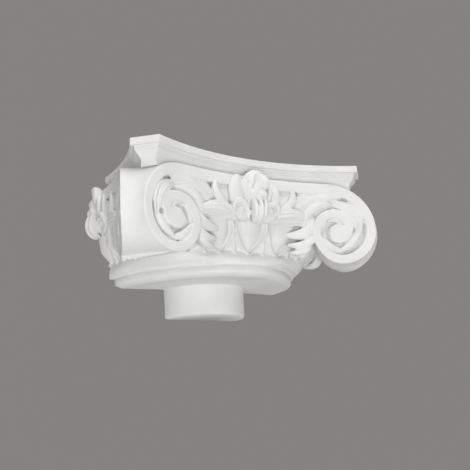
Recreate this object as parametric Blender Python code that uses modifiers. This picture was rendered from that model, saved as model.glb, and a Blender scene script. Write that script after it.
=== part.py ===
# Half column capital with corner volutes, cut flat where it meets the wall.
# One moulded piece: hollow-sided abacus, canal and volutes with a running leaf, a flower on each
# face, egg and dart below, neck mouldings and a half-round locating plug.
# Frame: X to the right, -Y out of the wall, Z up. The origin is on the column's axis, in the wall
# face, at the level of the neck's underside. One quarter is modelled and mirrored.
import bpy
import bmesh
from math import atan2, cos, exp, pi, radians, sin, sqrt
from mathutils import Vector

MM = 0.001

# Abacus: plan and profile
ABACUS_TOP = 150.7 * MM
ABACUS_HALF_SPAN = 150.0 * MM
ABACUS_CHAMFER = 36.3 * MM
ABACUS_MID_DEPTH = 140.7 * MM
FASCIA_HEIGHT = 9.0 * MM
FASCIA_STEP = 4.6 * MM
BAND_HEIGHT = 6.0 * MM
CAVETTO_DEPTH = 6.5 * MM

# Canal and volute band
CANAL_TOP = 125.5 * MM
# One millimetre of the carving, which grows with the height of the canal
CARVED = CANAL_TOP / 125.5
CANAL_WIDTH = 14.5 * MM
BAND_WIDTH = 12.0 * MM
VOLUTE_START = 112.0 * MM
VOLUTE_RADII = [radius * CARVED for radius in (61.0, 47.8, 40.2, 34.0, 24.3, 22.0, 12.0, 14.0, 10.0)]
CHANNEL_DEPTH = 8.0 * MM
CHANNEL_OVERCUT = 6.0 * MM
CHANNEL_START = -0.6
CHANNEL_STOP = 4.8
RIM_HOLLOW = 0.1

# Faces in plan: hollow arcs, the side ones a little further out and shorter
FRONT_DEPTH = 143.5 * MM
FRONT_RADIUS = 454.0 * MM
SIDE_DEPTH = 153.0 * MM
SIDE_RADIUS = 325.0 * MM
SIDE_CROWDING = 0.911

# Field behind the flower
FIELD_SINK = 13.0 * MM
FIELD_BOTTOM = 68.0 * MM
FIELD_HALF_WIDTH = 104.0 * MM

# Echinus: a bell, round at the neck and square above: height, reach to the front, reach to the
# side and squareness of the plan (2 is round), in carved millimetres
BELL_LEVELS = (
    (13.9, 136.8, 137.4, 1.7),
    (22.6, 129.4, 137.0, 1.9),
    (31.4, 121.0, 134.0, 2.5),
    (44.3, 127.0, 143.0, 4.5),
    (65.2, 131.0, 146.0, 7.0),
    (73.7, 131.0, 146.0, 7.0),
    (83.1, 127.0, 137.0, 7.0),
    (121.3, 127.0, 137.0, 7.0),
)
BELL_STEPS = 9

# Egg and dart on each face of the bell
EGG_SPACING = 42.5 * MM
EGG_SPLAY = 0.25
EGG_HALF_WIDTH = 15.5 * MM
EGG_TIP = 32.0 * MM
EGG_TOP = 92.0 * MM
EGG_SWELL = 7.0 * MM
SHELL_WIDTH = 5.0 * MM
SHELL_SWELL = 4.6 * MM
SHELL_TIP = 27.0 * MM
DART_HALF_WIDTH = 3.2 * MM
DART_SWELL = 4.0 * MM
DART_TIP = 30.0 * MM
DART_TOP = 58.0 * MM

# Neck
UNDERSIDE_RADIUS = 120.0 * MM
FILLET_RADIUS = 130.8 * MM
FILLET_TOP = 10.5 * MM
LIP_RADIUS = 138.0 * MM
LIP_TOP = 14.5 * MM
LIP_SETBACK = 16.0 * MM
LIP_RISE = 9.0 * MM
LIP_SQUEEZE = 0.065
NECK_SQUEEZE = 0.045

# Locating plug
PLUG_RADIUS = 58.5 * MM
PLUG_DEPTH = 39.0 * MM
PLUG_ROUNDING = 3.0 * MM

# How far pieces run past the wall face and the middle plane before they are cut there
OVERRUN = 6.0 * MM
CUT_CLEARANCE = 0.3 * MM
LEVEL_ANGLE = radians(2)
TURN_STEPS = 44
STRIP_COUNT = 8
ROLL_STEPS = 3
WELD = 0.00002


# Plan of the faces
def face_depth(u, middle, radius):
    return middle + radius - sqrt(radius * radius - u * u)


def front_face(u, z, proud=0.0):
    """Point on the front face: u along it, proud of it towards the viewer."""
    return Vector((u, -face_depth(u, FRONT_DEPTH, FRONT_RADIUS) - proud, z))


def side_face(u, z, proud=0.0):
    """The same point on the side face, where everything is set a little closer to the middle."""
    near = u * SIDE_CROWDING
    return Vector((face_depth(near, SIDE_DEPTH, SIDE_RADIUS) + proud, -near, z))


def bell_plan(z):
    """Reach to the front, reach to the side and squareness of the bell at a height."""
    levels = [(low * CARVED, front * CARVED, side * CARVED, power) for low, front, side, power in BELL_LEVELS]
    for (low, *first), (high, *second) in zip(levels, levels[1:]):
        if z <= high:
            share = max(z - low, 0) / (high - low)
            return [mix(a, b, share) for a, b in zip(first, second)]
    return levels[-1][1:]


def bell_front(u, z, proud=0.0):
    """Point on the front of the bell."""
    front, side, power = bell_plan(z)
    return Vector((u, -front * (1 - abs(u / side) ** power) ** (1 / power) - proud, z))


def bell_side(u, z, proud=0.0):
    """Point on the side of the bell."""
    front, side, power = bell_plan(z)
    near = u * SIDE_CROWDING
    return Vector((side * (1 - abs(near / front) ** power) ** (1 / power) + proud, -near, z))


# Volute spiral: quarter arcs, each centred on the line through the last centre and joint
def volute_arcs():
    arcs = []
    joint = Vector((VOLUTE_START, CANAL_TOP))
    for quarter, radius in enumerate(VOLUTE_RADII):
        outward = Vector((sin(quarter * pi / 2), cos(quarter * pi / 2)))
        centre = joint - radius * outward
        arcs.append((centre, radius))
        outward = Vector((sin((quarter + 1) * pi / 2), cos((quarter + 1) * pi / 2)))
        joint = centre + radius * outward
    return arcs


ARCS = volute_arcs()


def band_width(turn):
    """Width of the flat band; turn counts quarter turns from the end of the canal."""
    if turn <= 0:
        return CANAL_WIDTH
    return BAND_WIDTH + (CANAL_WIDTH - BAND_WIDTH) * exp(-2 * turn)


def outer_edge(turn):
    if turn < 0:
        return Vector((VOLUTE_START * (1 + turn), CANAL_TOP))
    quarter = min(int(turn), len(ARCS) - 1)
    centre, radius = ARCS[quarter]
    return centre + radius * Vector((sin(turn * pi / 2), cos(turn * pi / 2)))


def inner_edge(turn):
    if turn < 0:
        return outer_edge(turn) - Vector((0, CANAL_WIDTH))
    outward = Vector((sin(turn * pi / 2), cos(turn * pi / 2)))
    return outer_edge(turn) - band_width(turn) * outward


# Building blocks
def spread(start, stop, count):
    return [start + (stop - start) * step / (count - 1) for step in range(count)]


def mix(low, high, share):
    return low + (high - low) * share


def bezier(points, share):
    """Point on a curve with any number of control points."""
    points = [Vector(point) for point in points]
    while len(points) > 1:
        points = [mix(a, b, share) for a, b in zip(points, points[1:])]
    return points[0]


def finish(mesh_data, name, collection):
    """Turn a bmesh into an object with its faces pointing out."""
    bmesh.ops.remove_doubles(mesh_data, verts=mesh_data.verts, dist=WELD)
    bmesh.ops.recalc_face_normals(mesh_data, faces=mesh_data.faces)
    mesh = bpy.data.meshes.new(name)
    mesh_data.to_mesh(mesh)
    mesh_data.free()
    item = bpy.data.objects.new(name, mesh)
    collection.objects.link(item)
    return item


def hide(item):
    item.hide_render = True
    item.display_type = "WIRE"
    return item


def pod(name, place, collection, sides=6, rings=6):
    """A pointed lobe: place(share, across, out) gives each point of a round grain of wheat."""
    shape = bmesh.new()
    bmesh.ops.create_uvsphere(shape, u_segments=sides, v_segments=rings, radius=1.0)
    for vertex in shape.verts:
        x, y, z = vertex.co
        ring = sqrt(x * x + y * y)
        share = atan2(ring, -z) / pi
        across, out = (x / ring, y / ring) if ring > 1e-6 else (0.0, 0.0)
        vertex.co = place(share, across, out)
    return hide(finish(shape, name, collection))


def bar(name, place, collection, steps, sides=4):
    """A closed bar: place(share, across, out) with across and out from -1 to 1."""
    shape = bmesh.new()
    bmesh.ops.create_cone(shape, cap_ends=True, segments=sides, radius1=1.0, radius2=1.0, depth=2.0)
    along = [edge for edge in shape.edges if abs(edge.verts[0].co.z - edge.verts[1].co.z) > 1]
    bmesh.ops.subdivide_edges(shape, edges=along, cuts=steps - 1)
    turn = pi / sides
    grow = 1 / cos(turn)
    for vertex in shape.verts:
        x, y, z = vertex.co
        across = (x * cos(turn) - y * sin(turn)) * grow
        out = (x * sin(turn) + y * cos(turn)) * grow
        vertex.co = place((z + 1) / 2, across, out)
    bmesh.ops.triangulate(shape, faces=[face for face in shape.faces if len(face.verts) > 3])
    return hide(finish(shape, name, collection))


def loft(name, rings, collection):
    """A closed body through rings with the same number of points."""
    shape = bmesh.new()
    loops = [[shape.verts.new(point) for point in ring] for ring in rings]
    for first, second in zip(loops, loops[1:]):
        for index in range(len(first)):
            after = (index + 1) % len(first)
            shape.faces.new((first[index], first[after], second[after], second[index]))
    for loop in (loops[0], loops[-1]):
        shape.faces.new(loop)
    bmesh.ops.triangulate(shape, faces=shape.faces)
    return finish(shape, name, collection)


def turned(name, profile, collection, squeeze=0.0):
    """A turned body from (radius, height) points, top to bottom on its outer side. The squeeze
    draws it in half way between the front and the side."""
    shape = bmesh.new()
    points = [(0, profile[0][1])] + profile + [(0, profile[-1][1])]
    verts = [shape.verts.new((radius, 0, z)) for radius, z in points]
    edges = [shape.edges.new(pair) for pair in zip(verts, verts[1:])]
    bmesh.ops.spin(shape, geom=verts + edges, cent=(0, 0, 0), axis=(0, 0, 1), angle=2 * pi,
                   steps=TURN_STEPS, use_merge=True)
    for vertex in shape.verts:
        drawn_in = 1 - squeeze * sin(2 * atan2(vertex.co.x, -vertex.co.y)) ** 2
        vertex.co.x *= drawn_in
        vertex.co.y *= drawn_in
    return hide(finish(shape, name, collection))


# Abacus
def abacus_outline(inset):
    """Quarter plan of the abacus, set in from its edge: hollow front, chamfer, hollow side."""
    corner_depth = ABACUS_HALF_SPAN + ABACUS_CHAMFER / sqrt(2)
    sag = corner_depth - ABACUS_MID_DEPTH
    radius = (ABACUS_HALF_SPAN ** 2 + sag ** 2) / (2 * sag)
    centre_depth = ABACUS_MID_DEPTH + radius
    diagonal = ABACUS_HALF_SPAN + corner_depth - inset * sqrt(2)
    gap = centre_depth - diagonal
    grown = radius + inset
    corner_x = (sqrt(2 * grown ** 2 - gap ** 2) - gap) / 2
    front = [Vector((x, -centre_depth + sqrt(grown ** 2 - x ** 2))) for x in spread(-OVERRUN, corner_x, 9)]
    side = [Vector((-point.y, -point.x)) for point in reversed(front)]
    return front + side + [Vector((-OVERRUN, OVERRUN))]


def make_abacus(collection):
    fascia_bottom = ABACUS_TOP - FASCIA_HEIGHT
    band_bottom = fascia_bottom - BAND_HEIGHT
    levels = [(ABACUS_TOP, 0), (fascia_bottom, 0), (fascia_bottom - 0.3 * MM, FASCIA_STEP),
              (band_bottom, FASCIA_STEP + 0.6 * MM)]
    for angle in spread(20, 90, 3):
        drop = (band_bottom - CANAL_TOP) * sin(radians(angle)) ** 2
        levels.append((band_bottom - drop, FASCIA_STEP + CAVETTO_DEPTH * sin(radians(angle))))
    levels.append((CANAL_TOP - CANAL_WIDTH / 2, FASCIA_STEP + CAVETTO_DEPTH))
    rings = [[(point.x, point.y, z) for point in abacus_outline(inset)] for z, inset in levels]
    return hide(loft("abacus", rings, collection))


# Canal and volutes
def roll(name, outline, place, collection):
    """A body between two faces: a flat outline of (u, z) points, cut in strips that follow the curve."""
    shape = bmesh.new()
    face = shape.faces.new([shape.verts.new((u, 0, z)) for u, z in outline])
    grown = bmesh.ops.extrude_face_region(shape, geom=[face])
    moved = [item for item in grown["geom"] if isinstance(item, bmesh.types.BMVert)]
    bmesh.ops.translate(shape, verts=moved, vec=(0, 1, 0))
    low = min(u for u, z in outline)
    high = max(u for u, z in outline)
    cuts = [((u, 0, 0), (1, 0, 0)) for u in spread(low, high, STRIP_COUNT + 1)[1:-1]]
    cuts += [((0, share, 0), (0, 1, 0)) for share in spread(0, 1, ROLL_STEPS + 1)[1:-1]]
    for point, normal in cuts:
        everything = shape.verts[:] + shape.edges[:] + shape.faces[:]
        bmesh.ops.bisect_plane(shape, geom=everything, dist=WELD, plane_co=point, plane_no=normal)
    bmesh.ops.triangulate(shape, faces=[face for face in shape.faces if len(face.verts) > 4])
    for vertex in shape.verts:
        vertex.co = place(vertex.co.x, vertex.co.z, vertex.co.y)
    bmesh.ops.triangulate(shape, faces=shape.faces)
    return finish(shape, name, collection)


def make_volute(collection):
    """The corner roll: its front outline runs to its side outline with a hollow rim between."""
    outline = [outer_edge(turn) for turn in (-1.05, 0)]
    outline += [outer_edge(turn) for turn in spread(0, 3.4, 21)[1:]]
    canal_bottom = CANAL_TOP - CANAL_WIDTH + CUT_CLEARANCE
    outline += [Vector((VOLUTE_START * 0.75, canal_bottom)), Vector((-0.05 * VOLUTE_START, canal_bottom))]

    def place(u, z, share):
        front = front_face(u, z)
        side = side_face(u, z)
        reach = min(max(u / VOLUTE_START * 2 - 1, 0), 1)
        hollow = RIM_HOLLOW * reach * (side - front).length * 4 * share * (1 - share)
        return mix(front, side, share) + Vector((-hollow, hollow, 0)) / sqrt(2)
    return roll("capital", outline, place, collection)


def make_channels(collection):
    """The sunk channel between the turns of the band, on the front face and on the side face."""
    for name, face in (("front_channel", front_face), ("side_channel", side_face)):
        def place(share, across, out, face=face):
            turn = mix(CHANNEL_START, CHANNEL_STOP, share)
            point = mix(inner_edge(turn), outer_edge(turn + 4), (across + 1) / 2)
            return face(point.x, point.y, CHANNEL_OVERCUT if out > 0 else -CHANNEL_DEPTH)
        bar(name, place, collection, 22)


def make_leaf_segments(collection):
    """Running leaf in the channel: overlapping lobes, each with its tip over the next one's root."""
    for name, face in (("front_leaf", front_face), ("side_leaf", side_face)):
        for number, (start, stop) in enumerate(((-0.75, 1.25), (1.1, 2.15), (2.05, 3.2), (3.1, 4.2))):
            def place(share, across, out, face=face, start=start, stop=stop):
                turn = mix(start, stop, share)
                low, high = inner_edge(turn), outer_edge(turn + 4)
                fullness = sin(pi * share) ** 0.45
                point = mix(low, high, 0.5 + 0.46 * across * fullness)
                rise = (CHANNEL_DEPTH - 1.5 * MM) * fullness * max(out, 0)
                return face(point.x, point.y, rise - CHANNEL_DEPTH - (1.5 * MM if out < -0.1 else 0))
            pod(f"{name}_{number}", place, collection, sides=5, rings=6)


def make_field(collection):
    """The sunk wall behind the flower, between the canal and the eggs."""
    top = CANAL_TOP - CANAL_WIDTH / 2
    corners = [(-OVERRUN, FIELD_BOTTOM), (FIELD_HALF_WIDTH, FIELD_BOTTOM), (FIELD_HALF_WIDTH, top),
               (-OVERRUN, top)]

    def place(u, z, share):
        return mix(front_face(u, z, -FIELD_SINK), side_face(u, z, -FIELD_SINK), share)
    hide(roll("field", corners, place, collection))


# Echinus
def bell_outline(front, side, power):
    """Quarter plan of the bell: a superellipse carried past the middle plane and the wall."""
    points = [Vector((-OVERRUN, -front))]
    for angle in spread(0, pi / 2, BELL_STEPS)[1:-1]:
        reach = ((sin(angle) / side) ** power + (cos(angle) / front) ** power) ** (-1 / power)
        points.append(Vector((reach * sin(angle), -reach * cos(angle))))
    return points + [Vector((side, OVERRUN)), Vector((-OVERRUN, OVERRUN))]


def make_bell(collection):
    rings = []
    for height, front, side, power in reversed(BELL_LEVELS):
        outline = bell_outline(front * CARVED, side * CARVED, power)
        rings.append([(point.x, point.y, height * CARVED) for point in outline])
    return hide(loft("bell", rings, collection))


def make_neck(collection):
    """The ring under the echinus, and the lip that overhangs it."""
    lip = [(LIP_RADIUS - LIP_SETBACK, LIP_TOP + LIP_RISE), (LIP_RADIUS - 0.8 * MM, LIP_TOP + 0.6 * MM),
           (LIP_RADIUS, LIP_TOP - 1 * MM), (LIP_RADIUS - 1 * MM, FILLET_TOP + 1.4 * MM),
           (FILLET_RADIUS - LIP_RISE, FILLET_TOP)]
    turned("lip", lip, collection, LIP_SQUEEZE)
    ring = [(FILLET_RADIUS - 8 * MM, LIP_TOP), (FILLET_RADIUS, FILLET_TOP + 0.7 * MM),
            (FILLET_RADIUS, 3.5 * MM), (UNDERSIDE_RADIUS, 0)]
    turned("ring", ring, collection, NECK_SQUEEZE)


def make_plug(collection):
    profile = [(PLUG_RADIUS, 8 * MM), (PLUG_RADIUS, -PLUG_DEPTH + PLUG_ROUNDING),
               (PLUG_RADIUS - PLUG_ROUNDING, -PLUG_DEPTH)]
    return turned("plug", profile, collection)


def make_eggs(collection):
    """The middle egg and the one beside it on each face, each in its shell, with darts between."""
    for face_name, face in (("front", bell_front), ("side", bell_side)):
        for number in (0, 1):
            def grain(name, low, high, half_width, swell, shift, sides, rings, number=number, face=face):
                def place(share, across, out):
                    z = mix(low, high, share)
                    fullness = sin(pi * share) ** 0.7 * (1 - 0.3 * (1 - share) ** 2)
                    middle = (number + shift) * (EGG_SPACING + EGG_SPLAY * (z - EGG_TIP))
                    return face(middle + half_width * fullness * across, z, swell * fullness * out)
                pod(f"{face_name}_{name}_{number}", place, collection, sides, rings)
            grain("egg", EGG_TIP, EGG_TOP, EGG_HALF_WIDTH, EGG_SWELL, 0, 8, 5)
            grain("shell", SHELL_TIP, EGG_TOP, EGG_HALF_WIDTH + SHELL_WIDTH, SHELL_SWELL, 0, 6, 5)
            grain("dart", DART_TIP, DART_TOP, DART_HALF_WIDTH, DART_SWELL, 0.5, 4, 3)


# Lobes on the faces
def lobe(name, path, half_width, thick, collection, face, sides=6, rings=5, blunt=0.6):
    """A rounded leaf lobe on a face; path holds (u, z, proud) points from root to tip."""
    def place(share, across, out):
        here = bezier(path, share)
        ahead = bezier(path, min(share + 0.02, 1.0)) - bezier(path, max(share - 0.02, 0.0))
        along = Vector((ahead.x, ahead.y)).normalized()
        fullness = sin(pi * share) ** blunt
        u = here.x + along.y * half_width * fullness * across
        z = here.y - along.x * half_width * fullness * across
        return face(u, z, here.z + thick * fullness * out)
    return pod(name, place, collection, sides, rings)


def carved(points):
    """Points written in carved millimetres, as lengths."""
    return [tuple(value * CARVED for value in point) for point in points]


def make_face_ornament(collection):
    """Flower, leaves and corner husk of one half face, on the front and on the side."""
    lobes = {
        "hood": ([(0.5, 100, -6), (2, 120, 6), (6, 138, 9)], 17, 7),
        "hood_lip": ([(-4, 131, 8), (8, 130, 13), (18, 118, 9)], 7, 5),
        "bulb": ([(0.5, 92, -2), (0.5, 100, 6), (0.5, 108, 6), (0.5, 116, 2)], 12, 8),
        "stem": ([(0.5, 64, -10), (0.5, 78, 0), (0.5, 90, 2), (0.5, 102, -2)], 12, 7),
        "big_petal": ([(12, 84, -10), (24, 92, 2), (34, 108, 4), (40, 124, -4)], 13, 6),
        "side_petal": ([(22, 76, -12), (40, 80, -8), (56, 92, 0), (56, 114, 0)], 8, 6),
        "curl": ([(8, 76, -10), (16, 88, 0), (28, 92, 4), (34, 82, 0), (26, 78, -4)], 6, 5),
        "long_leaf": ([(12, 72, -10), (36, 74, -1), (56, 80, 0), (80, 72, -5)], 8, 7),
        "leaf_root": ([(74, 74, -12), (84, 90, -5), (94, 100, -3), (112, 104, -5)], 10, 6),
        "leaf_upper": ([(52, 88, -12), (70, 104, -4), (92, 110, -2), (124, 106, -4)], 7, 6),
        "husk_top": ([(98, 74, -10), (88, 56, -4), (72, 48, -8), (52, 54, -24)], 7, 8),
        "husk_middle": ([(98, 60, -10), (88, 44, -4), (76, 38, -9), (56, 44, -26)], 6.5, 8),
        "husk_low": ([(98, 46, -10), (89, 33, -5), (76, 27, -10), (58, 30, -30)], 6.5, 8),
    }
    for face_name, face in (("front", front_face), ("side", side_face)):
        for name, (path, half_width, thick) in lobes.items():
            lobe(f"{face_name}_{name}", carved(path), half_width * CARVED, thick * CARVED, collection, face)


# Assembly
def boolean(item, name, operation, collection):
    modifier = item.modifiers.new(name, "BOOLEAN")
    modifier.operation = operation
    modifier.solver = "EXACT"
    modifier.operand_type = "COLLECTION"
    modifier.collection = collection


def primed_foam_white():
    material = bpy.data.materials.new("primed_foam")
    material.use_nodes = True
    shader = material.node_tree.nodes["Principled BSDF"]
    shader.inputs["Base Color"].default_value = (0.82, 0.82, 0.82, 1)
    shader.inputs["Roughness"].default_value = 0.6
    shader.inputs["Metallic"].default_value = 0.0
    return material


def main():
    for item in list(bpy.data.objects):
        bpy.data.objects.remove(item, do_unlink=True)
    names = ("half_column_capital", "channel_cutters", "masses", "wall_cutter")
    groups = [bpy.data.collections.new(name) for name in names]
    for group in groups:
        bpy.context.scene.collection.children.link(group)
    parts, channels, masses, wall = groups

    capital = make_volute(parts)
    make_channels(channels)
    for make in (make_abacus, make_field, make_bell, make_neck, make_plug, make_eggs, make_face_ornament,
                 make_leaf_segments):
        make(masses)
    shape = bmesh.new()
    bmesh.ops.create_cube(shape, size=1.0)
    for vertex in shape.verts:
        vertex.co = Vector((vertex.co.x, vertex.co.y + 0.5, vertex.co.z))
    hide(finish(shape, "wall", wall))

    boolean(capital, "Sink channels", "DIFFERENCE", channels)
    boolean(capital, "Join masses", "UNION", masses)
    boolean(capital, "Cut at wall", "DIFFERENCE", wall)
    thin = capital.modifiers.new("Join level facets", "DECIMATE")
    thin.decimate_type = "DISSOLVE"
    thin.angle_limit = LEVEL_ANGLE
    mirror = capital.modifiers.new("Other half", "MIRROR")
    mirror.use_axis = (True, False, False)
    mirror.use_bisect_axis = (True, False, False)
    mirror.use_clip = True
    mirror.merge_threshold = WELD
    mirror.bisect_threshold = WELD
    capital.data.materials.append(primed_foam_white())


main()
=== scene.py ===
from math import atan2, cos, exp, pi, sin, sqrt

import bmesh
import bpy
from mathutils import Matrix, Vector


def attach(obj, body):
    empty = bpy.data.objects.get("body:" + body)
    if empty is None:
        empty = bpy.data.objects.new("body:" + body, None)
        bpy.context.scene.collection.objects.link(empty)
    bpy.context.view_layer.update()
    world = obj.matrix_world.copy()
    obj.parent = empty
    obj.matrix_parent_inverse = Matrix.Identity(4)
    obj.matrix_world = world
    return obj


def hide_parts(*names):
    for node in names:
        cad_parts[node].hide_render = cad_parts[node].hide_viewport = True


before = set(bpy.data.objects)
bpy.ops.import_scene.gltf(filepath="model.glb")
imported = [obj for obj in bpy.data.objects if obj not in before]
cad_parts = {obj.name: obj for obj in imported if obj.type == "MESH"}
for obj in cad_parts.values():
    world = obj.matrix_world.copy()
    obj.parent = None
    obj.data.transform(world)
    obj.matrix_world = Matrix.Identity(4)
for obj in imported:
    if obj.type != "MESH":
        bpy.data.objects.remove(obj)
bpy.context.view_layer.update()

MM = 0.001
WELD = 0.02

# Fineness of the cast skins; that of the volutes keeps each one under 200,000 triangles
VOLUTE_FINENESS = 1.09
FLOWER_FINENESS = 0.75

# Pieces that overlap in the wall face end a hair apart, so that no two faces lie in one plane
ECHINUS_SETBACK = 0.05
CORE_SETBACK = 0.1
FLOWER_SETBACK = 0.15

# Abacus
ABACUS_HALF_SPAN = 150.0
ABACUS_CHAMFER = 36.3
ABACUS_MID_DEPTH = 140.7

# Canal and volute band
CANAL_TOP = 125.5
CANAL_WIDTH = 14.5
BAND_WIDTH = 12.0
VOLUTE_START = 112.0
VOLUTE_RADII = (61.0, 47.8, 40.2, 34.0, 24.3, 22.0, 12.0, 14.0, 10.0)
CHANNEL_DEPTH = 9.5
RIM_HOLLOW = 0.1

# Quarter turns from the end of the canal: where the roll closes, and where the channel starts and stops
ROLL_END = 3.4
CHANNEL_START = -0.62
CHANNEL_STOP = 4.8

# Faces in plan: hollow arcs, the side ones a little further out and shorter
FRONT_DEPTH = 143.5
FRONT_RADIUS = 454.0
SIDE_DEPTH = 153.0
SIDE_RADIUS = 325.0
SIDE_CROWDING = 0.911

# Field behind the flower
FIELD_SINK = 9.5
FIELD_BOTTOM = 68.0
FIELD_HALF_WIDTH = 106.0

# Egg and dart
EGG_SPACING = 42.5
EGG_FAN = 0.25
EGG_TIP = 32.0
EGG_GROUND = 2.6
BELL_FOOT = 11.6
BELL_TOP = 92.0
ECHINUS_BORE = 95.0

# Neck and plug
NECK_PROFILE = (
    (112.0, 30.0), (126.0, 14.5), (130.8, 12.6), (130.8, 4.2), (130.0, 3.2), (121.0, 0.4), (119.5, 0.1),
    (112.0, 0.4), (62.0, 1.4), (59.0, 0.9), (58.5, 0.0), (58.5, -36.0), (58.1, -37.4), (57.0, -38.5),
    (55.4, -39.0),
)
NECK_SQUEEZE = 0.045


# Plan of the faces
def face_depth(u, middle, radius):
    return middle + radius - sqrt(radius * radius - u * u)


def front_face(u, z, proud=0.0):
    """Point on the front face: u along it, proud of it towards the viewer."""
    return Vector((u, -face_depth(u, FRONT_DEPTH, FRONT_RADIUS) - proud, z))


def side_face(u, z, proud=0.0):
    """The same point on the right side face, where everything is a little closer to the middle."""
    near = u * SIDE_CROWDING
    return Vector((face_depth(near, SIDE_DEPTH, SIDE_RADIUS) + proud, -near, z))


def flipped(face):
    """The same face mirrored from right to left."""
    def place(u, z, proud=0.0):
        point = face(u, z, proud)
        return Vector((-point.x, point.y, point.z))
    return place


def backwards(face):
    """The same face with its along direction turned round."""
    def place(u, z, proud=0.0):
        return face(-u, z, proud)
    return place


# Volute spiral: quarter arcs, each centred on the line through the last centre and joint
def volute_arcs():
    arcs = []
    joint = Vector((VOLUTE_START, CANAL_TOP))
    for quarter, radius in enumerate(VOLUTE_RADII):
        outward = Vector((sin(quarter * pi / 2), cos(quarter * pi / 2)))
        centre = joint - radius * outward
        arcs.append((centre, radius))
        outward = Vector((sin((quarter + 1) * pi / 2), cos((quarter + 1) * pi / 2)))
        joint = centre + radius * outward
    return arcs


ARCS = volute_arcs()


def band_width(turn):
    """Width of the flat band; turn counts quarter turns from the end of the canal."""
    if turn <= 0:
        return CANAL_WIDTH
    return BAND_WIDTH + (CANAL_WIDTH - BAND_WIDTH) * exp(-2 * turn)


def outer_edge(turn):
    if turn < 0:
        return Vector((VOLUTE_START * (1 + turn), CANAL_TOP))
    quarter = min(int(turn), len(ARCS) - 1)
    centre, radius = ARCS[quarter]
    return centre + radius * Vector((sin(turn * pi / 2), cos(turn * pi / 2)))


def inner_edge(turn):
    if turn < 0:
        return outer_edge(turn) - Vector((0, CANAL_WIDTH))
    outward = Vector((sin(turn * pi / 2), cos(turn * pi / 2)))
    return outer_edge(turn) - band_width(turn) * outward


def channel(turn, across):
    """Point in the channel between two turns of the band: across runs from 0 outside to 1 inside."""
    return mix(inner_edge(turn), outer_edge(turn + 4), across)


# Small helpers
def spread(start, stop, count):
    return [start + (stop - start) * step / (count - 1) for step in range(count)]


def mix(low, high, share):
    return low + (high - low) * share


def bezier(points, share):
    """Point on a curve with any number of control points."""
    points = [Vector(point) for point in points]
    while len(points) > 1:
        points = [mix(a, b, share) for a, b in zip(points, points[1:])]
    return points[0]


# Building blocks
def grain(shape, place, sides=24, rings=28):
    """Adds a closed grain of wheat: place(share, across, out) gives each of its points."""
    made = bmesh.ops.create_uvsphere(shape, u_segments=sides, v_segments=rings, radius=1.0)
    for vertex in made["verts"]:
        x, y, z = vertex.co
        ring = sqrt(x * x + y * y)
        share = atan2(ring, -z) / pi
        across, out = (x / ring, y / ring) if ring > 1e-6 else (0.0, 0.0)
        vertex.co = place(share, across, out)


def bar(shape, place, steps, sides=4):
    """Adds a closed bar: place(share, across, out) with across and out from -1 to 1."""
    made = bmesh.new()
    bmesh.ops.create_cone(made, cap_ends=True, segments=sides, radius1=1.0, radius2=1.0, depth=2.0)
    along = [edge for edge in made.edges if abs(edge.verts[0].co.z - edge.verts[1].co.z) > 1]
    bmesh.ops.subdivide_edges(made, edges=along, cuts=steps - 1)
    turn = pi / sides
    grow = 1 / cos(turn)
    for vertex in made.verts:
        x, y, z = vertex.co
        across = (x * cos(turn) - y * sin(turn)) * grow
        out = (x * sin(turn) + y * cos(turn)) * grow
        vertex.co = place((z + 1) / 2, across, out)
    bmesh.ops.triangulate(made, faces=[face for face in made.faces if len(face.verts) > 4])
    bmesh.ops.recalc_face_normals(made, faces=made.faces)
    add(shape, made)


def lobe(shape, face, path, width, thick, ridges=0.0, depth=0.0, cup=0.0, tilt=0.0, under=9.0, blunt=0.5):
    """A leaf or petal carved on a face. path holds (u, z, proud) points from root to tip; ridges of
    the given depth run along it; cup lifts both edges, tilt lifts the one on the right of the path,
    and the solid goes down by under, so that nothing gapes below the leaf."""
    def place(share, across, out):
        here = bezier(path, share)
        ahead = bezier(path, min(share + 0.02, 1.0)) - bezier(path, max(share - 0.02, 0.0))
        along = Vector((ahead.x, ahead.y)).normalized()
        fullness = sin(pi * share) ** blunt
        across = squarer(across)
        out = squarer(out)
        u = here.x + along.y * width * fullness * across
        z = here.y - along.x * width * fullness * across
        rise = (thick if out > 0 else under) * out + cup * across * across + tilt * across
        if out > 0:
            rise += depth * out * cos(pi * ridges * across)
        return face(u, z, here.z + rise * fullness)
    length = sum((Vector(b) - Vector(a)).length for a, b in zip(path, path[1:]))
    grain(shape, place, max(20, int(width * 4)), max(16, int(length)))


def squarer(value):
    """Pushes a point of the unit circle outwards, so that the section has steeper sides."""
    return abs(value) ** 0.75 * (1 if value > 0 else -1)


def roll(shape, outline, place, strips, steps):
    """Adds a body between two faces: a flat outline of (u, z) points, cut in strips that follow the curve."""
    made = bmesh.new()
    flat = made.faces.new([made.verts.new((u, 0, z)) for u, z in outline])
    grown = bmesh.ops.extrude_face_region(made, geom=[flat])
    moved = [item for item in grown["geom"] if isinstance(item, bmesh.types.BMVert)]
    bmesh.ops.translate(made, verts=moved, vec=(0, 1, 0))
    low = min(u for u, z in outline)
    high = max(u for u, z in outline)
    cuts = [((u, 0, 0), (1, 0, 0)) for u in spread(low, high, strips + 1)[1:-1]]
    cuts += [((0, share, 0), (0, 1, 0)) for share in spread(0, 1, steps + 1)[1:-1]]
    for point, normal in cuts:
        everything = made.verts[:] + made.edges[:] + made.faces[:]
        bmesh.ops.bisect_plane(made, geom=everything, dist=WELD, plane_co=point, plane_no=normal)
    bmesh.ops.triangulate(made, faces=[face for face in made.faces if len(face.verts) > 4])
    for vertex in made.verts:
        vertex.co = place(vertex.co.x, vertex.co.z, vertex.co.y)
    bmesh.ops.triangulate(made, faces=made.faces)
    bmesh.ops.recalc_face_normals(made, faces=made.faces)
    add(shape, made)


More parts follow.
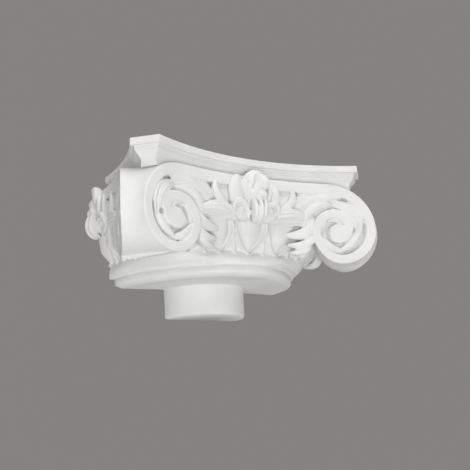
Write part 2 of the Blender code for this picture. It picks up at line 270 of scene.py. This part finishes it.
def add(shape, made):
    """Adds one bmesh to another."""
    carried = bpy.data.meshes.new("carried")
    made.to_mesh(carried)
    made.free()
    shape.from_mesh(carried)
    bpy.data.meshes.remove(carried)


def as_object(shape, name):
    """A bmesh in millimetres as an object in metres with its faces pointing out."""
    bmesh.ops.scale(shape, verts=shape.verts, vec=(MM, MM, MM))
    bmesh.ops.recalc_face_normals(shape, faces=shape.faces)
    mesh = bpy.data.meshes.new(name)
    shape.to_mesh(mesh)
    shape.free()
    item = bpy.data.objects.new(name, mesh)
    bpy.context.scene.collection.objects.link(item)
    return item


def settle(item):
    """Replaces the object's mesh by what its modifiers make of it."""
    scene_state = bpy.context.evaluated_depsgraph_get()
    mesh = bpy.data.meshes.new_from_object(item.evaluated_get(scene_state))
    item.modifiers.clear()
    item.data = mesh
    return item


def cut_at_wall(item, setback=0.0):
    """Cuts the piece flat in the wall face, or that much in front of it, and closes the cut."""
    shape = bmesh.new()
    shape.from_mesh(item.data)
    everything = shape.verts[:] + shape.edges[:] + shape.faces[:]
    bmesh.ops.bisect_plane(
        shape, geom=everything, dist=1e-7, plane_co=(0, -setback * MM, 0), plane_no=(0, 1, 0), clear_outer=True
    )
    rim = [edge for edge in shape.edges if len(edge.link_faces) == 1]
    if rim:
        bmesh.ops.triangle_fill(shape, use_beauty=True, edges=rim, normal=(0, 1, 0))
    bmesh.ops.recalc_face_normals(shape, faces=shape.faces)
    shape.to_mesh(item.data)
    shape.free()


def fuse(shape, name, fineness, soften, setback=0.0):
    """One cast skin round all the overlapping shapes: remeshed at that fineness, then softened."""
    item = as_object(shape, name)
    skin = item.modifiers.new("Cast skin", "REMESH")
    skin.mode = "VOXEL"
    skin.voxel_size = fineness * MM
    soft = item.modifiers.new("Soften", "SMOOTH")
    soft.factor = 0.5
    soft.iterations = soften
    settle(item)
    cut_at_wall(item, setback)
    return item


def shade(item, smooth=True):
    for polygon in item.data.polygons:
        polygon.use_smooth = smooth


# Corner: canal, volute rolls and the running leaf
def make_corner(name, front, side, flash):
    """One volute corner, from the middle of the front face to the wall; flash is its share of the
    mould's flash."""
    outline = [outer_edge(turn) for turn in (-1.0, -0.75, -0.5, -0.25, 0)]
    outline += [outer_edge(turn) for turn in spread(0, ROLL_END, 70)[1:]]
    canal_bottom = CANAL_TOP - CANAL_WIDTH
    outline += [Vector((VOLUTE_START * 0.75, canal_bottom)), Vector((0, canal_bottom))]

    def between(u, z, share):
        near, far = front(u, z), side(u, z)
        reach = min(max(u / VOLUTE_START * 2 - 1, 0), 1)
        hollow = RIM_HOLLOW * reach * (far - near).length * 4 * share * (1 - share)
        inward = Vector((-near.x, -near.y, 0)).normalized()
        return mix(near, far, share) + inward * hollow
    body = bmesh.new()
    roll(body, outline, between, 44, 14)
    item = as_object(body, name)
    cutters = bmesh.new()
    for face in (front, side):
        def trench(share, across, out, face=face):
            turn = mix(CHANNEL_START, CHANNEL_STOP, share)
            point = channel(turn, (across + 1) / 2)
            return face(point.x, point.y, 6 if out > 0 else -CHANNEL_DEPTH)
        bar(cutters, trench, 90)
    tool = as_object(cutters, "channel_tool")
    sink = item.modifiers.new("Sink channels", "BOOLEAN")
    sink.operation = "DIFFERENCE"
    sink.solver = "EXACT"
    sink.object = tool
    settle(item)
    bpy.data.objects.remove(tool)

    shape = bmesh.new()
    shape.from_mesh(item.data)
    bpy.data.objects.remove(item)
    bmesh.ops.scale(shape, verts=shape.verts, vec=(1 / MM, 1 / MM, 1 / MM))
    for face in (front, side):
        for leaf in RUNNING_LEAF + HUSK:
            lobe(shape, face, *leaf)
    add_flash(shape, front, side, flash)
    top = CANAL_TOP - CANAL_WIDTH / 2
    corners = [(0, FIELD_BOTTOM), (FIELD_HALF_WIDTH, FIELD_BOTTOM), (FIELD_HALF_WIDTH, top), (0, top)]

    def sunk(u, z, share):
        return mix(front(u, z, -FIELD_SINK), side(u, z, -FIELD_SINK), share)
    roll(shape, corners, sunk, 20, 6)
    return fuse(shape, name, VOLUTE_FINENESS, 1)


# Running leaf along the canal and round the channel of the volute, from the flower to the eye:
# the path in (along, up, proud), half width, thickness, ridges, ridge depth, cup and tilt
RUNNING_LEAF = (
    (((62, 74, -12), (80, 94, -8), (100, 102, -7), (124, 101, -7)), 12.0, 3.0, 0, 0, 0, 0),
    (((60, 82, -10), (76, 105, -3), (100, 107.5, -2), (135, 108, -2)), 5.0, 3.5, 0, 0, 0, 0),
    (((58, 90, -9), (66, 104, -5), (80, 111, -4), (104, 111, -4)), 5.5, 3.5, 0, 0, 0, 0),
    (((76, 66, -10), (80, 92, -3), (98, 99, -2.5), (117, 98, -4)), 6.5, 4.0, 1, 0.5, 0, 0),
    (((118, 100, -9), (138, 97, -4), (147, 82, -3.5), (149, 62, -3.5)), 6.6, 4.5, 3, 0.8, 0, 0),
    (((112, 102, -8), (152, 108, -4), (161, 76, -3), (152, 54, -5)), 2.7, 4.5, 0, 0, 0, 0),
    (((152, 70, -11), (151, 54, -5), (142, 42, -4), (124, 35, -4.5)), 6.4, 4.5, 1, 0.8, 0, 0),
    (((138, 35, -10), (114, 33, -5), (102, 44, -4), (97, 55, -4.5)), 5.5, 4.5, 0, 0, 0, 0),
    (((97, 50, -11), (97, 64, -5), (102, 71, -4), (110, 76, -4.5)), 4.3, 4.5, 0, 0, 0, 0),
    (((109, 72, -10), (116, 80, -5), (126, 76, -4), (129, 67, -6)), 2.3, 4.0, 0, 0, 0, 0),
)
# Husk between the volute and the eggs: three drooping fingers that curl back at their tips
HUSK = (
    (((90, 86, -10), (92, 62, -4), (74, 51, -5), (50, 56, -11)), 7.2, 4.5, 0, 0, 0, 0),
    (((91, 68, -10), (92, 46, -4), (76, 38, -5), (54, 43, -12)), 5.5, 4.5, 0, 0, 0, 0),
    (((86, 50, -12), (84, 36, -6), (74, 30, -7), (57, 33, -14)), 4.4, 4.5, 0, 0, 0, 0),
)
# Flash left by the mould under a roll: how far it hangs, from the front edge to the side edge
FLASH_HANG = ((0.0, 0.4), (0.3, 1.8), (0.6, 3.4), (0.8, 5.2), (0.86, 3.4), (0.9, 5.6), (1.0, 4.6))
FLASH_ALONG = 122.0
FLASH_HALF_WIDTH = 5.0
FLASH_HEIGHT = 17.5


def add_flash(shape, front, side, flash):
    def place(share, across, out):
        u = FLASH_ALONG + FLASH_HALF_WIDTH * across
        spot = mix(front(u, FLASH_HEIGHT), side(u, FLASH_HEIGHT), share)
        ragged = 0.35 * sin(61 * share) + 0.3 * sin(103 * share + 1)
        hang = flash * between_stops(FLASH_HANG, share) * (1 + ragged * ramp(share, 0.55, 0.8))
        spot.z += 3.0 if out > 0 else -hang - 0.6
        return spot
    bar(shape, place, 110)


# Flower in the middle of a face, from the canal down to the ledge over the eggs
# written like the leaves above; the flutes of the cup also give their depth below and their bluntness
FLOWER_PAIR = (
    # rim of the outer leaf and the hollow inside it
    (((30, 81, -5), (52, 88, -2), (66, 100, -2), (57, 116, -1)), 5.4, 4.5, 0, 0, 0, 0),
    (((34, 78, -10), (44, 92, -6), (48, 104, -6), (48, 119, -8)), 13.0, 2.5, 0, 0, 3.0, 0),
    # scroll at the foot of the flower, with its eye
    (((9, 70, -1), (11, 88, 4), (27, 100, 5), (40, 87, 4), (31, 76, 1)), 4.2, 4.2, 0, 0, 0, 0),
    (((9, 69, -3), (20, 78, 0), (34, 80, -1)), 8.5, 3.0, 0, 0, 0, 0),
    (((16, 79, 0), (22, 83, 4), (28, 82, 1)), 3.0, 3.4, 0, 0, 0, 0),
    # long leaf over the eggs
    (((20, 74, -7), (42, 83, -2), (60, 86, -2), (80, 78, -6)), 7.5, 4.5, 3, 0.9, 0, 0),
)
FLOWER_MIDDLE = (
    # solid ground of the flower
    (((0, 62, -9), (0, 82, 0), (0, 104, 3), (0, 128, -4)), 23.0, 4.0, 0, 0, 0, 0),
    # left and right petal, each with a fold along its inner edge
    (((-14, 80, -4), (-27, 92, 2), (-33, 106, 5), (-24, 126, 2)), 13.0, 4.5, 1, 0.8, -1.0, 0),
    (((-10, 88, 1), (-15, 102, 6), (-19, 112, 6), (-15, 126, 3)), 3.6, 4.5, 0, 0, 0, 0),
    (((14, 82, -4), (26, 92, 0), (32, 102, 3), (25, 120, 0)), 9.5, 4.0, 0, 0, 2.0, 0),
    (((11, 86, 0), (20, 97, 4), (24, 106, 5), (18, 119, 3)), 3.6, 4.5, 0, 0, 0, 0),
    # hood: the cap, the left fold and the right lip
    (((-15, 113, 2), (-8, 130, 3), (7, 134, 4), (17, 114, 3)), 6.8, 4.5, 0, 0, 0, 0),
    (((3, 107, 2), (3, 118, 4), (2, 128, 2)), 11.0, 4.0, 0, 0, 0, 0),
    (((0, 130, 5), (-8, 120, 7), (-12, 108, 8), (-13.5, 90, 4)), 3.8, 4.5, 0, 0, 0, 0),
    (((4, 128, 4), (15, 126, 6), (17, 114, 8), (9, 108, 7)), 5.6, 4.5, 0, 0, 0, 0),
    # stamens
    (((1, 100, 5), (1.5, 109, 9), (2, 118, 4)), 7.5, 5.0, 0, 0, 0, 0),
    (((-6, 91, 5), (-6.5, 99, 12), (-6, 109, 6)), 7.0, 5.0, 0, 0, 0, 0),
    (((7, 91, 5), (7.5, 99, 12), (7, 109, 6)), 6.6, 5.0, 0, 0, 0, 0),
    (((0.5, 90, 6), (0.5, 96, 13), (0.5, 104, 8)), 5.5, 4.5, 0, 0, 0, 0),
    # fluted cup under them
    (((-4.5, 64, 2), (-5, 69, 13), (-6.5, 84, 13), (-8, 96, 9)), 3.4, 4.5, 0, 0, 0, 0, 9.0, 0.35),
    (((0.8, 63, 3), (0.8, 68, 15), (0.8, 84, 15), (0.8, 96, 10)), 3.2, 4.5, 0, 0, 0, 0, 9.0, 0.35),
    (((6, 64, 2), (6.5, 69, 13), (8, 84, 13), (9.5, 96, 9)), 3.2, 4.5, 0, 0, 0, 0, 9.0, 0.35),
)
# Ledge under the flower
LEDGE_HALF_LENGTH = 76.0
LEDGE_HEIGHT = 73.0


def make_flower(name, face):
    shape = bmesh.new()
    for leaf in FLOWER_MIDDLE:
        lobe(shape, face, *leaf)
    for leaf in FLOWER_PAIR:
        lobe(shape, face, *leaf)
        lobe(shape, backwards(face), *leaf)

    def ledge(share, across, out):
        u = mix(-LEDGE_HALF_LENGTH, LEDGE_HALF_LENGTH, share)
        sag = 2.5 * cos(pi * share - pi / 2) ** 2
        return face(u, LEDGE_HEIGHT - sag + 3.0 * across, -9 + 4.0 * out)
    bar(shape, ledge, 60, 8)
    return fuse(shape, name, FLOWER_FINENESS, 2, FLOWER_SETBACK)


# Echinus: a bell that is round at the neck and square above, with a row of eggs on each face
def between_stops(stops, z):
    """Value at height z from (height, value) stops, read with straight lines between them."""
    for (low, first), (high, second) in zip(stops, stops[1:]):
        if z <= high:
            return mix(first, second, max(z - low, 0) / (high - low))
    return stops[-1][1]


# Reach of the bell to the front and to each side by height, and how square it is there
BELL_FRONT = (
    (11.6, 135.6), (12.2, 137.2), (13.4, 138.0), (14.6, 137.3), (18, 134.4), (22, 130.2), (26, 125.4),
    (30, 121.5), (32, 120.5), (45, 127), (66, 131), (94, 131),
)
BELL_SIDE = (
    (11.6, 135.8), (12.2, 137.3), (13.4, 138.0), (14.6, 137.8), (22, 137.4), (28, 135.5), (32, 134), (45, 143),
    (66, 146), (94, 146),
)
BELL_SQUARENESS = ((12, 1.66), (16, 1.75), (22, 2.3), (32, 3.4), (45, 5.0), (66, 7.0), (94, 7.0))


def squarish(angle, ahead, aside, power):
    """Reach of a rounded square at that angle from the front."""
    return ((abs(sin(angle)) / aside) ** power + (abs(cos(angle)) / ahead) ** power) ** (-1 / power)


def bell_reach(angle, z):
    ahead, aside = between_stops(BELL_FRONT, z), between_stops(BELL_SIDE, z)
    return squarish(angle, ahead, aside, between_stops(BELL_SQUARENESS, z))


def gothic(z, tip, rise, half_width):
    """Half width of a pointed arch that hangs down to its tip."""
    share = min(max((z - tip) / rise, 0), 1)
    return half_width * (1 - (1 - share) ** 1.9)


def ramp(value, low, high):
    share = min(max((value - low) / (high - low), 0), 1)
    return share * share * (3 - 2 * share)


def egg_relief(u, z):
    """Height of the egg, its shell and the darts over the bell, u along the face."""
    best = -EGG_GROUND * ramp(z, EGG_TIP - 7, EGG_TIP)
    pitch = EGG_SPACING + EGG_FAN * (z - EGG_TIP)
    for place in (-2, -1, 0, 1, 2):
        off = abs(u - place * pitch)
        egg = gothic(z, EGG_TIP, 36, 16.6)
        shell = gothic(z, EGG_TIP - 6, 34, 25.0)
        if off < egg:
            swell = sqrt(1 - (off / egg) ** 2)
            return 8.4 * swell ** 0.6 * min(1, 0.4 + egg / 20) - EGG_GROUND
        if off < shell:
            slope = ramp(off, egg + 0.8, max(shell - 2.0, egg + 1.2))
            crest = 1 - ramp(off, shell - 1.0, shell)
            best = max(best, 8.0 * slope * crest - EGG_GROUND)
        dart = max(0.0, 1 - abs(off - pitch / 2) / (0.28 * max(47 - z, 0.1)))
        best = max(best, 3.6 * dart * ramp(z, 27, 31) * (1 - ramp(z, 42, 47)))
    return best


def make_echinus():
    shape = bmesh.new()
    steps, rows = 450, 104
    bmesh.ops.create_grid(shape, x_segments=steps, y_segments=rows, size=1.0)
    for vertex in shape.verts:
        angle = (pi / 2 + 0.02) * vertex.co.x
        z = mix(BELL_FOOT, BELL_TOP, (vertex.co.y + 1) / 2)
        reach = bell_reach(angle, z)
        aside = abs(sin(angle)) / between_stops(BELL_SIDE, z)
        ahead = abs(cos(angle)) / between_stops(BELL_FRONT, z)
        u = reach * sin(angle) if aside < ahead else reach * cos(angle) / SIDE_CROWDING
        edge = 1 - ramp(abs(u), 92, 104)
        reach += egg_relief(u, z) * edge
        vertex.co = Vector((reach * sin(angle), -reach * cos(angle), z))
    grown = bmesh.ops.extrude_face_region(shape, geom=shape.faces[:])
    for item in grown["geom"]:
        if isinstance(item, bmesh.types.BMVert):
            angle = atan2(item.co.x, -item.co.y)
            item.co = Vector((ECHINUS_BORE * sin(angle), -ECHINUS_BORE * cos(angle), item.co.z))
    item = as_object(shape, "echinus")
    cut_at_wall(item, ECHINUS_SETBACK)
    return item


def turned(shape, profile, steps):
    """Adds a turned body from (radius, height) points, top to bottom on its outer side."""
    made = bmesh.new()
    verts = [made.verts.new((radius, 0, z)) for radius, z in profile]
    edges = [made.edges.new(pair) for pair in zip(verts, verts[1:])]
    bmesh.ops.spin(
        made, geom=verts + edges, cent=(0, 0, 0), axis=(0, 0, 1), angle=2 * pi, steps=steps, use_merge=True
    )
    bmesh.ops.remove_doubles(made, verts=made.verts, dist=WELD)
    bmesh.ops.recalc_face_normals(made, faces=made.faces)
    add(shape, made)


# Neck mouldings and plug
def make_neck():
    shape = bmesh.new()
    turned(shape, ((0.0, 40.0),) + NECK_PROFILE + ((0.0, -39.0),), 220)
    for vertex in shape.verts:
        angle = atan2(vertex.co.x, -vertex.co.y)
        reach = sqrt(vertex.co.x ** 2 + vertex.co.y ** 2)
        squeeze = 1 - NECK_SQUEEZE * ramp(reach, 62, 125) * sin(2 * angle) ** 2
        vertex.co.x *= squeeze
        vertex.co.y *= squeeze
    item = as_object(shape, "neck_and_plug")
    cut_at_wall(item)
    return item


# Core: it fills the inside of the bell, and the room behind the canal up to the abacus
CORE_RADIUS = 97.0
CORE_FOOT = 28.0
CORE_FRONT = ((91.5, 130.0), (110.9, 131.0), (111.6, 142.3), (124.5, 142.3))
CORE_SIDE = ((91.5, 143.0), (110.9, 143.3), (111.6, 152.2), (124.5, 152.2))


def make_core():
    shape = bmesh.new()
    rings = [(CORE_RADIUS, z) for z in (124.5, 111.6, 110.9, 91.5, 90.0, CORE_FOOT)]
    turned(shape, [(0.0, 124.5)] + rings + [(0.0, CORE_FOOT)], 220)
    for vertex in shape.verts:
        x, y, z = vertex.co
        if z > 91 and abs(x) + abs(y) > 1:
            angle = atan2(x, -y)
            reach = squarish(angle, between_stops(CORE_FRONT, z), between_stops(CORE_SIDE, z), 7.0)
            vertex.co = Vector((reach * sin(angle), -reach * cos(angle), z))
    item = as_object(shape, "core")
    cut_at_wall(item, CORE_SETBACK)
    return item


# Abacus: height of each step of its profile, and how far it is set in from the edge
ABACUS_LEVELS = (
    (150.7, 3.0), (150.7, 0.9), (150.4, 0.25), (149.8, 0.0), (147.6, 0.0), (147.2, 0.35), (146.8, 0.0),
    (143.9, 0.0), (143.5, 0.35), (143.1, 0.0), (142.3, 0.1), (141.8, 0.5), (141.6, 4.0), (141.3, 4.6),
    (140.6, 4.8), (137.2, 5.0), (136.2, 5.2), (135.7, 6.2), (134.6, 7.0), (132.8, 8.2), (131.0, 9.7),
    (129.3, 11.0), (127.8, 12.0), (126.4, 12.5), (124.0, 12.7), (118.0, 12.7),
)


def abacus_outline(inset):
    """Plan of the abacus, set in from its edge: hollow sides and chamfered corners, cut at the wall."""
    corner_depth = ABACUS_HALF_SPAN + ABACUS_CHAMFER / sqrt(2)
    sag = corner_depth - ABACUS_MID_DEPTH
    radius = (ABACUS_HALF_SPAN ** 2 + sag ** 2) / (2 * sag)
    centre_depth = ABACUS_MID_DEPTH + radius
    diagonal = ABACUS_HALF_SPAN + corner_depth - inset * sqrt(2)
    gap = centre_depth - diagonal
    grown = radius + inset
    corner_x = (sqrt(2 * grown ** 2 - gap ** 2) - gap) / 2
    front = [Vector((x, -centre_depth + sqrt(grown ** 2 - x ** 2))) for x in spread(0, corner_x, 24)]
    side = [Vector((-point.y, -point.x)) for point in reversed(front)]
    right = front + side
    left = [Vector((-point.x, point.y)) for point in reversed(right[1:])]
    return right + left


def make_abacus():
    shape = bmesh.new()
    height, inset = ABACUS_LEVELS[0]
    verts = [shape.verts.new((point.x, point.y, height)) for point in abacus_outline(inset)]
    cap = shape.faces.new(verts)
    for step, (height, inset) in enumerate(ABACUS_LEVELS[1:]):
        grown = bmesh.ops.extrude_face_region(shape, geom=[cap])
        if step > 0:
            bmesh.ops.delete(shape, geom=[cap], context="FACES_ONLY")
        cap = [item for item in grown["geom"] if isinstance(item, bmesh.types.BMFace)][0]
        for vertex, point in zip([loop.vert for loop in cap.loops], abacus_outline(inset)):
            vertex.co = (point.x, point.y, height)
    bmesh.ops.triangulate(shape, faces=[face for face in shape.faces if len(face.verts) > 4])
    return as_object(shape, "abacus")


# Material
def linear(code):
    """Linear colour from an sRGB hex value."""
    parts = [int(code[index:index + 2], 16) / 255 for index in (1, 3, 5)]
    return [part / 12.92 if part <= 0.04045 else ((part + 0.055) / 1.055) ** 2.4 for part in parts] + [1]


def node(material, kind, links=(), **settings):
    """Adds a node, with its settings, inputs by name and links from (output) to (input name)."""
    made = material.node_tree.nodes.new(kind)
    for name, value in settings.items():
        if name.startswith("in_"):
            made.inputs[name[3:].replace("_", " ")].default_value = value
        else:
            setattr(made, name, value)
    for output, name in links:
        material.node_tree.links.new(output, made.inputs[name])
    return made


def primed_polyurethane():
    """Rigid polyurethane foam from a mould, sprayed with white primer: dull, faintly mottled, with
    a very fine tooth that breaks up the light."""
    material = bpy.data.materials.new("primed_polyurethane")
    material.use_nodes = True
    shader = material.node_tree.nodes["Principled BSDF"]
    shader.inputs["Roughness"].default_value = 0.62
    shader.inputs["Metallic"].default_value = 0.0
    shader.inputs["IOR"].default_value = 1.46
    place = node(material, "ShaderNodeTexCoord").outputs["Object"]
    clouds = node(material, "ShaderNodeTexNoise", [(place, "Vector")], in_Scale=1 / (38 * MM), in_Detail=3.0)
    tint = node(material, "ShaderNodeValToRGB", [(clouds.outputs["Fac"], "Fac")])
    tint.color_ramp.elements[0].position = 0.35
    tint.color_ramp.elements[0].color = linear("#d8d8d7")
    tint.color_ramp.elements[1].position = 0.65
    tint.color_ramp.elements[1].color = linear("#dfdfde")
    tooth = node(material, "ShaderNodeTexNoise", [(place, "Vector")], in_Scale=1 / (0.9 * MM), in_Detail=2.0)
    bump = node(
        material, "ShaderNodeBump", [(tooth.outputs["Fac"], "Height")], in_Strength=0.12, in_Distance=0.1 * MM
    )
    material.node_tree.links.new(tint.outputs["Color"], shader.inputs["Base Color"])
    material.node_tree.links.new(bump.outputs["Normal"], shader.inputs["Normal"])
    return material


def studio_paper(name, code):
    """Matt seamless paper for the floor and the backdrop."""
    material = bpy.data.materials.new(name)
    material.use_nodes = True
    shader = material.node_tree.nodes["Principled BSDF"]
    shader.inputs["Base Color"].default_value = linear(code)
    shader.inputs["Roughness"].default_value = 0.9
    return material


# Studio
def make_studio():
    # A plain tone curve, so that the white primer is as bright as in the photograph
    bpy.context.scene.view_settings.view_transform = "Standard"
    world = bpy.data.worlds.new("studio_grey")
    world.use_nodes = True
    bpy.context.scene.world = world
    world.node_tree.nodes["Background"].inputs["Color"].default_value = linear("#848381")
    world.node_tree.nodes["Background"].inputs["Strength"].default_value = 1.0
    floor_shape = bmesh.new()
    bmesh.ops.create_grid(floor_shape, x_segments=1, y_segments=1, size=6000)
    bmesh.ops.translate(floor_shape, verts=floor_shape.verts, vec=(0, 0, -900))
    floor = as_object(floor_shape, "floor")
    floor.data.materials.append(studio_paper("floor_paper", "#d8d8d6"))
    for name, place, size, power in (
        ("key", (-1.4, -2.0, 2.4), 1.8, 14),
        ("top", (0.0, -0.8, 2.6), 2.4, 54),
        ("left", (-2.8, -0.4, 0.5), 2.0, 8),
        ("right", (2.4, -2.0, 0.6), 2.2, 7),
        ("below", (-0.5, -1.2, -0.85), 1.8, 34),
    ):
        light = bpy.data.lights.new(name, "AREA")
        light.size = size
        light.energy = power
        lamp = bpy.data.objects.new(name, light)
        bpy.context.scene.collection.objects.link(lamp)
        lamp.location = place
        lamp.rotation_euler = (Vector((0, -0.08, 0.07)) - Vector(place)).to_track_quat("-Z", "Y").to_euler()


def make_camera():
    """The photograph's viewpoint: from the left, a little below, with a long lens."""
    yaw, pitch, lean = 0.5843, 0.2296, -0.0584
    ahead = Vector((sin(yaw) * cos(pitch), cos(yaw) * cos(pitch), sin(pitch)))
    level = Vector((cos(yaw), -sin(yaw), 0))
    above = level.cross(ahead)
    right = cos(lean) * level + sin(lean) * above
    up = cos(lean) * above - sin(lean) * level
    lens = bpy.data.cameras.new("camera")
    lens.lens = 60.85
    lens.sensor_width = 36.0
    camera = bpy.data.objects.new("camera", lens)
    bpy.context.scene.collection.objects.link(camera)
    turn = Matrix((right, up, -ahead)).transposed().to_4x4()
    camera.matrix_world = Matrix.Translation((-0.5605, -0.9417, -0.1768)) @ turn
    bpy.context.scene.camera = camera


def main():
    pieces = [
        make_abacus(),
        make_neck(),
        make_core(),
        make_echinus(),
        make_corner("right_volute", front_face, side_face, 0.0),
        make_corner("left_volute", flipped(front_face), flipped(side_face), 1.0),
        make_flower("front_flower", front_face),
        make_flower("right_flower", side_face),
        make_flower("left_flower", flipped(side_face)),
    ]
    foam = primed_polyurethane()
    for piece in pieces:
        piece.data.materials.clear()
        piece.data.materials.append(foam)
        shade(piece, piece.name not in ("abacus", "core"))
        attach(piece, "root")
        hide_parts("capital")
    make_studio()
    make_camera()


main()
